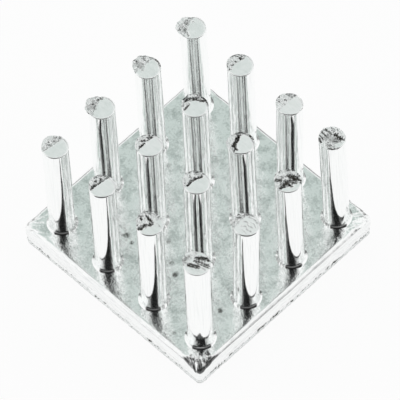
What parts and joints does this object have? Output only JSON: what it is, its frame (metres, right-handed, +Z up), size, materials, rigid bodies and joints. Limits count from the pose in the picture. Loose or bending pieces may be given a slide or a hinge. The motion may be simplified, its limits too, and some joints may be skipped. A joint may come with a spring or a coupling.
{
  "type": "pin fin heat sink",
  "caption": "Small square pin fin heat sink, cold forged in one piece from soft aluminium, with a flat underside for gluing or taping onto a chip.",
  "frame": {"origin": "centre of the flat underside that sits on the chip, which is the bottom centre of the box round the part", "axes": "+Z up along the pins, X and Y along the sides of the plate; the pin ends were sheared by a blade that travelled towards -X"},
  "size_m": [0.02, 0.02, 0.0135],
  "materials": {
    "aluminium": "bare cold forged metal: drawn and nearly mirror bright on the pins, pressed and mottled on the plate, sheared and torn on the pin ends"
  },
  "bodies": {
    "root": {"heat_sink": "aluminium"}
  },
  "joints": []
}
